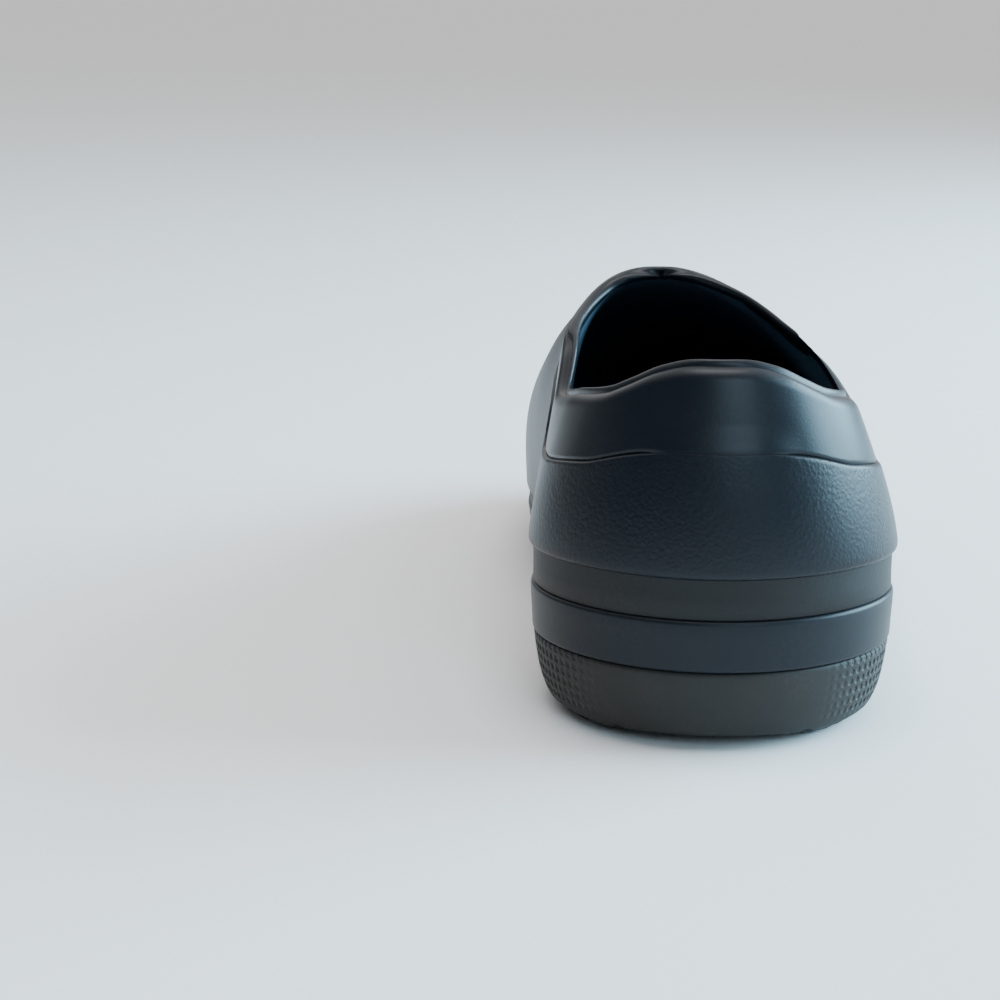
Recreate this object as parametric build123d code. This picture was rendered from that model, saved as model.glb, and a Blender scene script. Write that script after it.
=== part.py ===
"""Closed-heel garden clog for the right foot: moulded upper, inset heel collar, three-layer sole
unit and a loose insole that tips up about its toe end. Millimetres, +Y to the toe, +X to the
outer side of the foot, +Z up, with the origin under the middle of the clog on the ground."""

from build123d import *
import math
import os

# Overall sizes
LENGTH = 290.0  # back of the heel to the toe
FOREFOOT_WIDTH = 109.0  # across the ball of the foot
HEEL_WIDTH = 93.0  # across the heel at its widest
WAIST_OUTER = 48.5  # half width at the waist, outer side
WAIST_INNER = 43.0  # half width at the waist, arch side

# Heights above the ground
COLLAR_BACK = 94.0  # rim behind the heel
COLLAR_SIDE = 78.0  # rim at its lowest, below the ankle
THROAT = 103.0  # rim over the instep
PANEL_BACK = 73.0  # lower edge of the collar behind the heel
PANEL_SIDE = 62.0  # lower edge of the collar below the ankle
INSTEP_SLOPE = 0.36  # fall of the instep ridge per millimetre forward
TOE_FRONT = 35.0  # height up to which the toe stands upright

# Walls and layers
WALL = 5.0  # upper shell
COLLAR_STEP = 0.9  # the collar lies this far below the shell's surface
COLLAR_DEPTH = 2.6  # depth of the shell's rebate under the collar
COLLAR_OVER_RIM = 3.0  # the collar's own height over the shell at the rim
GLUE = 0.05  # glue line between the collar and the shell
TUB_WALL = 3.5  # part of the shell sunk into the midsole
TUB_FLOOR = 3.5
STRIP_INSET = 1.2  # midsole strip, in from the shell's widest edge
BAND_INSET = 0.6  # foxing band, in from the shell's widest edge
BAND_THICKNESS = 3.0
TREAD_INSET = 1.5  # top edge of the outsole, in from the shell's widest edge
TREAD_WALL = 7.0  # outsole wall at its top edge, round the midsole
TREAD_FLOOR = 6.0
TREAD_TAPER = 7.6  # the outsole narrows by this on each side down to the ground
MIDSOLE_RIM = 5.4  # midsole wall beside the shell's tub
TUB_LIFT = 1.0  # the tub ends this far above the outsole's top edge
TOE_SPRING = 8.0
HEEL_BEVEL = 3.0
LEVEL_CUT = 0.4  # the curved underside dips this far under the ground, and is then cut level

# Tread
GROOVE_WIDTH = 3.0
GROOVE_DEPTH = 3.0
GROOVE_PITCH = 13.0
GROOVE_ANGLE = 24.0  # each groove's halves sweep back from the middle
ARCH_RECESS = 2.5  # hollow between the heel and forefoot treads
FOREFOOT_GROOVES = 8
HEEL_GROOVES = 4

# Insole
INSOLE_GAP = 0.8  # clearance round the insole
REST_GAP = 0.3  # the insole rests this far above the shell's floor
FOOTBED_HEEL = 7.0
FOOTBED_TOE = 4.0
COVER_THICKNESS = 1.2
CUSHION_THICKNESS = 3.0
CUSHION_LENGTH = 58.0
CUSHION_WIDTH = 46.0

# Proportions of the last, as shares of the length
HEEL_AT = 0.155  # widest part of the heel
WAIST_AT = 0.38
BALL_OUTER_AT = 0.65
BALL_INNER_AT = 0.69
SIDE_RIM_AT = 0.22
THROAT_AT = 0.415
TOE_TURN_AT = 0.83  # where the ridge starts to round over the toe
PANEL_LOW_AT = 0.215  # where the collar reaches lowest

LEAN = 0.314  # share by which the heel's walls lean in, 50 mm above the widest level
VAMP_LEAN = 0.2  # the same on the outer side, ahead of the heel
ARCH_LEAN = 0.09  # the same on the arch side, ahead of the heel
LEAN_POWER = 1.28
APEX_SHIFT = 13.0  # the instep ridge lies this far towards the inner side
TOE_SWING = 5.0  # the toe points this far towards the inner side
MIDDLE = LENGTH / 2
REACH = max(FOREFOOT_WIDTH, HEEL_WIDTH)  # cutters stand out past the clog by this


def smooth_through(*points):
    """Monotone cubic curve through (place, value) points, level at both ends."""
    xs, ys = zip(*points)
    secants = [(b - a) / (q - p) for p, q, a, b in zip(xs, xs[1:], ys, ys[1:])]
    slopes = [0.0]
    for left, right in zip(secants, secants[1:]):
        slopes.append(2 * left * right / (left + right) if left * right > 0 else 0.0)
    slopes.append(0.0)

    def value(x):
        if x <= xs[0]:
            return ys[0]
        if x >= xs[-1]:
            return ys[-1]
        i = max(k for k in range(len(xs) - 1) if xs[k] <= x)
        h = xs[i + 1] - xs[i]
        t = (x - xs[i]) / h
        return (
            ys[i] * (1 + 2 * t) * (1 - t) ** 2
            + ys[i + 1] * t * t * (3 - 2 * t)
            + h * (slopes[i] * t * (1 - t) ** 2 - slopes[i + 1] * t * t * (1 - t))
        )

    return value


def along(*points):
    """The same, with places given as shares of the length."""
    return smooth_through(*[(share * LENGTH, height) for share, height in points])


# Side-view lines, measured from the back of the heel
shell_edge = along((0, 43.5), (0.16, 41.5), (0.38, 33.0), (0.62, 22.5), (0.75, 21.5), (1, 26.5))
strip_edge = along((0, 33.5), (0.16, 32.0), (0.38, 25.0), (0.62, 17.5), (0.75, 17.0), (1, 22.0))
tread_edge = along((0, 20.5), (0.16, 19.5), (0.38, 15.5), (0.62, 11.5), (0.75, 11.5), (1, 16.5))
arch_line = along((0.3, 0), (0.41, ARCH_RECESS), (0.52, 0))
sole_line = along(
    (0, HEEL_BEVEL), (0.07, -LEVEL_CUT), (0.72, -LEVEL_CUT), (0.86, 0.3 * TOE_SPRING), (1, TOE_SPRING)
)
outer_lean = along((0, LEAN), (0.17, LEAN), (0.245, 0.35 * LEAN + 0.65 * VAMP_LEAN), (0.31, VAMP_LEAN), (0.55, 0))
inner_lean = along((0, LEAN), (0.1, LEAN), (0.24, ARCH_LEAN), (0.4, ARCH_LEAN), (0.55, 0))
apex_place = along((0.2, 0), (0.33, APEX_SHIFT), (0.48, APEX_SHIFT), (0.7, 0.7 * APEX_SHIFT), (1, 0))
outer_roundness = along((0, 2.0), (0.45, 2.0), (0.7, 2.35))
inner_roundness = along((0, 2.0), (0.12, 2.0), (0.28, 2.35))
outer_waist = along((HEEL_AT, HEEL_WIDTH / 2), (WAIST_AT, WAIST_OUTER), (BALL_OUTER_AT, FOREFOOT_WIDTH / 2))
inner_waist = along((HEEL_AT, HEEL_WIDTH / 2), (WAIST_AT, WAIST_INNER), (BALL_INNER_AT, FOREFOOT_WIDTH / 2))


def ground_line(v):
    """Underside of the outsole: bevelled heel, hollow arch and sprung toe."""
    return sole_line(v) + arch_line(v)


def girth(v):
    """Height of the widest level of the shell."""
    return shell_edge(v) + 2.0


def ridge(v):
    """Height of the instep and toe ridge; behind the throat it rises on past the rim."""
    run = THROAT_AT * LENGTH - v
    height = THROAT + INSTEP_SLOPE * run
    if run > 0:
        height += 0.0055 * run * run
    turn = TOE_TURN_AT * LENGTH
    if v <= turn:
        return height
    share = min(1.0, (v - turn) / (LENGTH - turn))
    return TOE_FRONT + (height - TOE_FRONT) * (1 - share**2.6) ** 0.5


def heel_back(z):
    """How far the back of the heel lies forward at height z."""
    return 10.0 * max(0.0, (z - girth(0)) / (COLLAR_BACK - girth(0))) ** 1.6


def half_width(outer, v, inset, back=0.0):
    """Half width of the plan outline drawn in by inset, its heel starting at back."""
    heel, toe_start = HEEL_AT * LENGTH, (BALL_OUTER_AT if outer else BALL_INNER_AT) * LENGTH
    if v < heel:
        share = min(1.0, (heel - v) / (heel - inset - back))
        return (HEEL_WIDTH / 2 - inset) * math.sqrt(1 - share**2)
    if v > toe_start:
        power = 2.2 if outer else 2.7
        share = min(1.0, (v - toe_start) / (LENGTH - inset - toe_start))
        return (FOREFOOT_WIDTH / 2 - inset) * (1 - share**power) ** (1 / power)
    return (outer_waist if outer else inner_waist)(v) - inset


def swing(v):
    """Sideways place of the plan's middle line near the toe."""
    start = BALL_OUTER_AT * LENGTH
    return -TOE_SWING * max(0.0, (v - start) / (LENGTH - start)) ** 2


def skin_point(outer, v, z, inset):
    """A point of the shell's skin, drawn in by inset, on the outer or inner side."""
    width = half_width(outer, v, inset, heel_back(z))
    middle = swing(v)
    level = girth(v)
    if z > level:
        share = min(1.0, (z - level) / max(ridge(v) - inset - level, 1e-6))
        power = (outer_roundness if outer else inner_roundness)(v)
        width *= (1 - share**power) ** (1 / power)
        width *= 1 - (outer_lean if outer else inner_lean)(v) * ((z - level) / 50) ** LEAN_POWER
        middle -= apex_place(v) * share**1.5
    return (middle + (width if outer else -width), v - MIDDLE, z)


def front_of(z, inset):
    """How far forward the skin reaches at height z."""
    low, high = 0.0, LENGTH - inset
    if z <= ridge(high) - inset:
        return high
    for _ in range(50):
        mid = (low + high) / 2
        low, high = (mid, high) if ridge(mid) - inset > z else (low, mid)
    return low


def closed_wire(points):
    """Smooth closed wire, with the same spacing of its parameters for every section."""
    shares = [i / len(points) for i in range(len(points) + 1)]
    return Wire([Edge.make_spline([Vector(p) for p in points], periodic=True, parameters=shares)])


def ring(start, end, point_at, steps=14):
    """Points once round from start to end and back, closer together at the ends."""
    places = [start + (end - start) * (1 - math.cos(math.pi * i / steps)) / 2 for i in range(steps + 1)]
    out = [point_at(True, v) for v in places]
    back = [point_at(False, v) for v in reversed(places[1:-1])]
    return out + back


def skin(inset, low, high, levels=17):
    """Solid bounded by the shell's skin drawn in by inset(v, z), from height low to high."""
    sections = []
    for i in range(levels):
        z = low + (high - low) * i / (levels - 1)
        back = heel_back(z) + inset(0, z)
        front = front_of(z, inset(LENGTH, z))
        points = ring(back, front, lambda outer, v: skin_point(outer, v, z, inset(v, z)))
        sections.append(closed_wire(points))
    return Solid.make_loft(sections)


def plan_solid(levels):
    """Solid with the clog's plan outline, drawn in by a given inset at each (height, inset)."""
    sections = []
    for z, inset in levels:
        def point_at(outer, v):
            width = half_width(outer, v, inset)
            return (swing(v) + (width if outer else -width), v - MIDDLE, z)
        sections.append(closed_wire(ring(inset, LENGTH - inset, point_at)))
    return Solid.make_loft(sections, ruled=len(sections) == 2)


def side_region(line, up, start=-0.1, end=1.1, steps=14):
    """Everything above (or below) a side-view line, right across the clog."""
    places = [LENGTH * (start + (end - start) * i / steps) for i in range(steps + 1)]
    edge = Edge.make_spline([Vector(0, v - MIDDLE, line(v)) for v in places])
    far = 2 * LENGTH if up else -LENGTH
    a, b = edge @ 0, edge @ 1
    sides = Polyline(b, (0, b.Y, far), (0, a.Y, far), a)
    face = Face(Wire([edge, *sides.edges()]))
    return Solid.extrude(face, Vector(2 * REACH, 0, 0)).translate(Vector(-REACH, 0, 0))


def rim_line(v):
    """Height of the foot opening's rim, seen from the side."""
    throat, side = THROAT_AT * LENGTH, SIDE_RIM_AT * LENGTH
    fall, rise = COLLAR_BACK - COLLAR_SIDE, THROAT - COLLAR_SIDE
    points = (
        (0.16 * side, COLLAR_BACK),
        (0.235 * side, COLLAR_SIDE + 0.88 * fall),
        (0.3 * side, COLLAR_SIDE + 0.64 * fall),
        (0.39 * side, COLLAR_SIDE + 0.45 * fall),
        (0.64 * side, COLLAR_SIDE + 0.24 * fall),
        (side, COLLAR_SIDE),
        (side + 0.29 * (throat - side), COLLAR_SIDE + 0.33 * rise),
        (side + 0.46 * (throat - side), COLLAR_SIDE + 0.47 * rise),
        (throat - 8, COLLAR_SIDE + 0.77 * rise),
        (throat, THROAT + 2),
        (throat + 5, THROAT + 25),
    )
    return smooth_through(*points)(v)


def above_rim(drop=0.0):
    """Everything above the rim of the foot opening."""
    return side_region(lambda v: rim_line(v) - drop, up=True, start=-0.04, end=THROAT_AT + 0.012, steps=32)


def panel_line(v):
    """Lower edge of the collar: lowest at the side, then up and forward round the throat."""
    low = PANEL_LOW_AT * LENGTH
    throat = THROAT_AT * LENGTH
    rise = THROAT - PANEL_SIDE
    points = (
        (0, PANEL_BACK),
        (0.3 * low, PANEL_SIDE + 0.5 * (PANEL_BACK - PANEL_SIDE)),
        (low, PANEL_SIDE),
        (low + 6, PANEL_SIDE + 0.04 * rise),
        (low + 14, PANEL_SIDE + 0.22 * rise),
        (throat - 25, PANEL_SIDE + 0.38 * rise),
        (throat - 8, PANEL_SIDE + 0.53 * rise),
        (throat + 15, THROAT - 4.5),
        (throat + 40, THROAT + 20),
    )
    return smooth_through(*points)(v)


def panel_region(gap=0.0):
    """Where the collar lies, all round the foot opening."""
    return side_region(lambda v: panel_line(v) + gap, up=True, steps=60)


def constant(value):
    return lambda v, z: value


def only(shape):
    """The one solid of a result, as a plain solid."""
    solids = sorted(shape.solids(), key=lambda s: s.volume)
    return solids[-1]


TUB_INSET = STRIP_INSET + MIDSOLE_RIM
CAVITY_INSET = TUB_INSET + TUB_WALL
CAVITY_RISE = 22.0  # height over which the cavity widens to the wall's thickness
LOW, HIGH = 4.0, THROAT + 9.0  # lofts of the upper reach from inside the sole to above the rim
DEEP = -6.0  # lofts of the sole start below the ground


def cavity_inset(v, z):
    """The inside of the shell: steep in the tub, then following the wall."""
    share = min(1.0, max(0.0, (shell_edge(v) + CAVITY_RISE - z) / CAVITY_RISE))
    return WALL + (CAVITY_INSET - WALL) * share * share * (3 - 2 * share)


def seat_line(v):
    """Underside of the shell's tub."""
    return tread_edge(v) + TUB_LIFT


def floor_line(v):
    """Top of the shell's floor, which the insole lies on."""
    return seat_line(v) + TUB_FLOOR


footbed_foam = along((0, FOOTBED_HEEL), (0.2, FOOTBED_HEEL), (0.6, FOOTBED_TOE))


def insole_line(v):
    """Underside of the insole."""
    return floor_line(v) + REST_GAP


def footbed_line(v):
    """Top of the footbed's foam, under its cloth cover."""
    return insole_line(v) + footbed_foam(v)


def between(solid, low, high):
    """The part of a solid between two side-view lines."""
    return solid - side_region(low, up=False) - side_region(high, up=True)


def straight(inset, low=DEEP, high=HIGH):
    """Upright-walled solid with the plan outline drawn in by inset."""
    return plan_solid([(low, inset), (high, inset)])


def make_upper():
    """The upper shell with its floor, and the heel collar that sits in its rebate."""
    outside = skin(constant(0), LOW, HIGH)
    inside = skin(cavity_inset, LOW, HIGH + 3)
    collar_face = skin(constant(COLLAR_STEP), LOW, HIGH)
    rebate = skin(constant(COLLAR_STEP + COLLAR_DEPTH), LOW, HIGH)
    panel = panel_region()
    core = (rebate & panel) - above_rim(COLLAR_OVER_RIM)
    glued = skin(constant(COLLAR_STEP + COLLAR_DEPTH - GLUE), LOW, HIGH) - above_rim(COLLAR_OVER_RIM - GLUE)
    collar = ((collar_face - inside) - above_rim()) & panel_region(GLUE)
    collar = collar - glued
    upper = outside - side_region(shell_edge, up=False) - above_rim()
    tub = between(straight(TUB_INSET), seat_line, shell_edge)
    cavity = inside - side_region(floor_line, up=False)
    pocket = (outside & panel) - core
    shell = (upper + tub) - cavity - pocket
    return only(shell), only(collar)


def make_midsole():
    """Foam tray: a strip shows under the shell, the rest lies inside the band and outsole."""
    strip = between(straight(STRIP_INSET), strip_edge, shell_edge)
    middle = between(straight(BAND_INSET + BAND_THICKNESS), tread_edge, strip_edge)
    low = between(straight(TREAD_INSET + TREAD_WALL), tread_floor_line, tread_edge)
    return only((strip + middle + low) - (straight(TUB_INSET) - side_region(seat_line, up=False)))


def make_band():
    """Sidewall band round the midsole, between the strip and the outsole."""
    ring_solid = straight(BAND_INSET) - straight(BAND_INSET + BAND_THICKNESS, DEEP - 1, HIGH + 1)
    return only(between(ring_solid, tread_edge, strip_edge))


def tread_floor_line(v):
    """Top of the outsole's floor."""
    return max(sole_line(v), 0) + TREAD_FLOOR


def groove(v):
    """One tread groove across the clog, its halves swept back from the middle."""
    half = Box(REACH, GROOVE_WIDTH, 40, align=(Align.MIN, Align.CENTER, Align.MAX))
    height = max(sole_line(v), 0) + GROOVE_DEPTH
    outer = Pos(0, v - MIDDLE, height) * Rot(0, 0, -GROOVE_ANGLE) * half
    inner = Pos(0, v - MIDDLE, height) * Rot(0, 0, 180 + GROOVE_ANGLE) * half
    return outer + inner


def make_outsole():
    """Rubber cup with a tapered, rounded wall, tread grooves and a hollow under the arch."""
    top = tread_edge(0) + 4
    taper = [(1.0, DEEP), (1.0, 0.0), (0.45, 4.0), (0.15, 11.0), (0.0, tread_edge(0)), (0.0, top)]
    levels = [(z, TREAD_INSET + TREAD_TAPER * share) for share, z in taper]
    cup = between(plan_solid(levels), ground_line, tread_edge)
    cup = cup - Box(2 * REACH, 2 * LENGTH, LENGTH, align=(Align.CENTER, Align.CENTER, Align.MAX))
    recess = straight(TREAD_INSET + TREAD_WALL) - side_region(tread_floor_line, up=False)
    cup = cup - recess
    for i in range(FOREFOOT_GROOVES):
        cup = cup - groove(0.56 * LENGTH + i * GROOVE_PITCH)
    for i in range(HEEL_GROOVES):
        cup = cup - groove(0.08 * LENGTH + i * GROOVE_PITCH)
    return only(cup)


def make_insole():
    """Loose insole: foam footbed, its cloth cover and the heel cushion let into its underside."""
    outline = straight(CAVITY_INSET + INSOLE_GAP)
    foam = between(outline, insole_line, footbed_line)
    cover = between(outline, footbed_line, lambda v: footbed_line(v) + COVER_THICKNESS)
    pad = extrude(Ellipse(CUSHION_WIDTH / 2, CUSHION_LENGTH / 2), HIGH)
    pad = Pos(0, HEEL_AT * LENGTH - MIDDLE, 0) * pad
    cushion = between(pad, insole_line, lambda v: insole_line(v) + CUSHION_THICKNESS)
    return only(foam - cushion), only(cover), only(cushion)


def main():
    os.makedirs("parts", exist_ok=True)
    shell, collar = make_upper()
    foam, cover, cushion = make_insole()
    pieces = {
        "upper_shell": shell,
        "heel_collar": collar,
        "midsole": make_midsole(),
        "foxing_band": make_band(),
        "outsole": make_outsole(),
        "footbed_base": foam,
        "footbed_cover": cover,
        "heel_cushion": cushion,
    }
    for name, solid in pieces.items():
        export_step(solid, f"parts/{name}.step")


if __name__ == "__main__":
    main()
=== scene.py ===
import math

import bmesh
import bpy
from bpy.props import FloatProperty, FloatVectorProperty, PointerProperty
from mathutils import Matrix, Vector


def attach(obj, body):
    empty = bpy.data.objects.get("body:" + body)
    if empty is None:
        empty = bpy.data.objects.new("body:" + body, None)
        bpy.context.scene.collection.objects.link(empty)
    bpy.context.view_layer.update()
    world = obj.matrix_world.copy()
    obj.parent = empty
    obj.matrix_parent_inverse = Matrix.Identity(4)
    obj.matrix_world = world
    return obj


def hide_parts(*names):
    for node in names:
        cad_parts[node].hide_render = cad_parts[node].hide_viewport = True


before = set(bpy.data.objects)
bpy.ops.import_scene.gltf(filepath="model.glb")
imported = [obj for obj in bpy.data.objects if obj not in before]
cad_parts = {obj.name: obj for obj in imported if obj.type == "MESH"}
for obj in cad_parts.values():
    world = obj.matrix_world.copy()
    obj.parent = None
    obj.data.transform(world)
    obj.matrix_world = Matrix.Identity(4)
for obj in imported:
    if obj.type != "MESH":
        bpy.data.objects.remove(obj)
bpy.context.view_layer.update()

bl_info = {
    "name": "Garden clog",
    "version": (1, 0, 0),
    "blender": (4, 5, 0),
    "location": "3D View > Sidebar > Clog",
    "description": "Moulded rubber garden clog: upper, heel collar, sole unit and loose insole",
    "category": "Object",
}

MM = 0.001


# The last: the clog's outside in side view and plan, in millimetres


def smooth_through(*points):
    """Monotone cubic curve through (place, value) points, level at both ends."""
    xs, ys = zip(*points)
    secants = [(b - a) / (q - p) for p, q, a, b in zip(xs, xs[1:], ys, ys[1:])]
    slopes = [0.0]
    for left, right in zip(secants, secants[1:]):
        slopes.append(2 * left * right / (left + right) if left * right > 0 else 0.0)
    slopes.append(0.0)

    def value(x):
        if x <= xs[0]:
            return ys[0]
        if x >= xs[-1]:
            return ys[-1]
        i = max(k for k in range(len(xs) - 1) if xs[k] <= x)
        h = xs[i + 1] - xs[i]
        t = (x - xs[i]) / h
        return (
            ys[i] * (1 + 2 * t) * (1 - t) ** 2
            + ys[i + 1] * t * t * (3 - 2 * t)
            + h * (slopes[i] * t * (1 - t) ** 2 - slopes[i + 1] * t * t * (1 - t))
        )

    return value


def ease(t):
    t = min(1.0, max(0.0, t))
    return t * t * (3 - 2 * t)


LENGTH = 290.0
MIDDLE = LENGTH / 2
HEEL = 0.155 * LENGTH
HEEL_WIDTH, FOREFOOT_WIDTH = 93.0, 109.0
THROAT, THROAT_AT = 103.0, 0.415 * LENGTH
COLLAR_BACK, COLLAR_SIDE = 94.0, 78.0
PANEL_BACK, PANEL_SIDE = 73.0, 62.0
WALL, COLLAR_STEP, COLLAR_DEPTH = 5.0, 0.9, 2.6
STRIP_INSET, BAND_INSET, BAND_THICKNESS = 1.2, 0.6, 3.0
TREAD_INSET, TREAD_WALL, TREAD_TAPER, TREAD_FLOOR = 1.5, 7.0, 7.6, 6.0
TUB_INSET, CAVITY_INSET, CAVITY_RISE = 6.6, 10.1, 22.0
INSOLE_GAP, REST_GAP, COVER = 0.8, 0.3, 1.2
LEAN, VAMP_LEAN, ARCH_LEAN, LEAN_POWER = 0.314, 0.2, 0.09, 1.28
APEX_SHIFT, TOE_SWING = 13.0, 5.0
LEVEL_CUT = 0.4


def along(*points):
    return smooth_through(*[(share * LENGTH, height) for share, height in points])


shell_edge = along((0, 43.5), (0.16, 41.5), (0.38, 33.0), (0.62, 22.5), (0.75, 21.5), (1, 26.5))
strip_edge = along((0, 33.5), (0.16, 32.0), (0.38, 25.0), (0.62, 17.5), (0.75, 17.0), (1, 22.0))
tread_edge = along((0, 20.5), (0.16, 19.5), (0.38, 15.5), (0.62, 11.5), (0.75, 11.5), (1, 16.5))
arch_line = along((0.3, 0), (0.41, 2.5), (0.52, 0))
sole_line = along((0, 3), (0.07, -LEVEL_CUT), (0.72, -LEVEL_CUT), (0.86, 2.4), (1, 8))
HIP_LEAN = 0.35 * LEAN + 0.65 * VAMP_LEAN
outer_lean = along((0, LEAN), (0.17, LEAN), (0.245, HIP_LEAN), (0.31, VAMP_LEAN), (0.55, 0))
inner_lean = along((0, LEAN), (0.1, LEAN), (0.24, ARCH_LEAN), (0.4, ARCH_LEAN), (0.55, 0))
apex_place = along((0.2, 0), (0.33, APEX_SHIFT), (0.48, APEX_SHIFT), (0.7, 0.7 * APEX_SHIFT), (1, 0))
outer_roundness = along((0, 2.0), (0.45, 2.0), (0.7, 2.35))
inner_roundness = along((0, 2.0), (0.12, 2.0), (0.28, 2.35))
outer_waist = along((0.155, 46.5), (0.38, 48.5), (0.65, 54.5))
inner_waist = along((0.155, 46.5), (0.38, 43.0), (0.69, 54.5))
footbed_foam = along((0, 7.0), (0.2, 7.0), (0.6, 4.0))
taper_share = smooth_through((0, 1.0), (4, 0.45), (11, 0.15), (20.5, 0))
side = 0.22 * LENGTH
fall, climb, ahead = COLLAR_BACK - COLLAR_SIDE, THROAT - COLLAR_SIDE, THROAT_AT - side
rim_line = smooth_through(
    (0, COLLAR_BACK),
    (0.08 * side, COLLAR_SIDE + 0.88 * fall),
    (0.19 * side, COLLAR_SIDE + 0.64 * fall),
    (0.31 * side, COLLAR_SIDE + 0.45 * fall),
    (0.63 * side, COLLAR_SIDE + 0.24 * fall),
    (side, COLLAR_SIDE),
    (side + 0.29 * ahead, COLLAR_SIDE + 0.33 * climb),
    (side + 0.46 * ahead, COLLAR_SIDE + 0.47 * climb),
    (THROAT_AT - 8, COLLAR_SIDE + 0.77 * climb),
    (THROAT_AT, THROAT + 2),
    (THROAT_AT + 5, THROAT + 25),
)
low = 0.215 * LENGTH
rise = THROAT - PANEL_SIDE
panel_line = smooth_through(
    (0, PANEL_BACK),
    (0.3 * low, PANEL_SIDE + 0.5 * (PANEL_BACK - PANEL_SIDE)),
    (low, PANEL_SIDE),
    (low + 6, PANEL_SIDE + 0.04 * rise),
    (low + 14, PANEL_SIDE + 0.22 * rise),
    (THROAT_AT - 25, PANEL_SIDE + 0.38 * rise),
    (THROAT_AT - 8, PANEL_SIDE + 0.53 * rise),
    (THROAT_AT + 15, THROAT - 4.5),
    (THROAT_AT + 40, THROAT + 20),
)


def ground_line(v):
    return max(0.0, sole_line(v) + arch_line(v))


def ridge(v):
    """Height of the instep and toe ridge."""
    run = THROAT_AT - v
    height = THROAT + 0.36 * run
    if run > 0:
        height += 0.0055 * run * run
    turn = 0.83 * LENGTH
    if v <= turn:
        return height
    share = min(1.0, (v - turn) / (LENGTH - turn))
    return 35.0 + (height - 35.0) * (1 - share**2.6) ** 0.5


def heel_back(z):
    level = shell_edge(0) + 2
    return 10.0 * max(0.0, (z - level) / (COLLAR_BACK - level)) ** 1.6


def plan(outer, v, inset, back=0.0):
    """(half width, place along) of the plan outline drawn in by inset, for a station v."""
    ball = (0.65 if outer else 0.69) * LENGTH
    if v < HEEL:
        share = (HEEL - v) / HEEL
        return (HEEL_WIDTH / 2 - inset) * math.sqrt(max(0, 1 - share**2)), v + (inset + back) * share
    if v > ball:
        power = 2.2 if outer else 2.7
        share = min(1.0, (v - ball) / (LENGTH - ball))
        return (FOREFOOT_WIDTH / 2 - inset) * (1 - share**power) ** (1 / power), v - inset * share
    return (outer_waist if outer else inner_waist)(v) - inset, v


def swing(v):
    return -TOE_SWING * max(0.0, (v - 0.65 * LENGTH) / (0.35 * LENGTH)) ** 2


def sole_point(outer, v, inset, z):
    width, place = plan(outer, v, inset)
    return (swing(place) + (width if outer else -width), place - MIDDLE, z)


def skin_point(outer, v, inset, z):
    """A point of the upper's skin, drawn in by inset, at station v and height z."""
    width, place = plan(outer, v, inset, heel_back(z))
    middle = swing(place)
    level = shell_edge(place) + 2
    if z > level:
        share = min(1.0, (z - level) / max(ridge(place) - inset - level, 1e-6))
        power = (outer_roundness if outer else inner_roundness)(place)
        width *= (1 - share**power) ** (1 / power)
        width *= 1 - (outer_lean if outer else inner_lean)(place) * ((z - level) / 50) ** LEAN_POWER
        middle -= apex_place(place) * share**1.5
    return (middle + (width if outer else -width), place - MIDDLE, z)


def cavity_inset(v, z):
    share = min(1.0, max(0.0, (shell_edge(v) + CAVITY_RISE - z) / CAVITY_RISE))
    return WALL + (CAVITY_INSET - WALL) * ease(share)


def seat_line(v):
    return tread_edge(v) + 1.0


def floor_line(v):
    return seat_line(v) + 3.5


def insole_line(v):
    return floor_line(v) + REST_GAP


def footbed_line(v):
    return insole_line(v) + footbed_foam(v)


def crossing(line):
    """Where a side-view line meets the ridge."""
    a, b = 90.0, 160.0
    for _ in range(40):
        m = (a + b) / 2
        a, b = (m, b) if line(m) < ridge(m) else (a, m)
    return a


THROAT_V = crossing(lambda v: rim_line(v) - 0.6)
PANEL_V = crossing(panel_line)


# Mesh work


def places(*spans):
    """Station places: (start, end, count, bunching) spans, bunched at 'start', 'end' or evenly."""
    out = []
    for start, end, count, bunch in spans:
        for i in range(count):
            t = i / count
            if bunch == "start":
                t = 1 - math.cos(math.pi / 2 * t)
            if bunch == "end":
                t = math.sin(math.pi / 2 * t)
            out.append(start + (end - start) * t)
    out.append(spans[-1][1])
    return out


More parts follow.
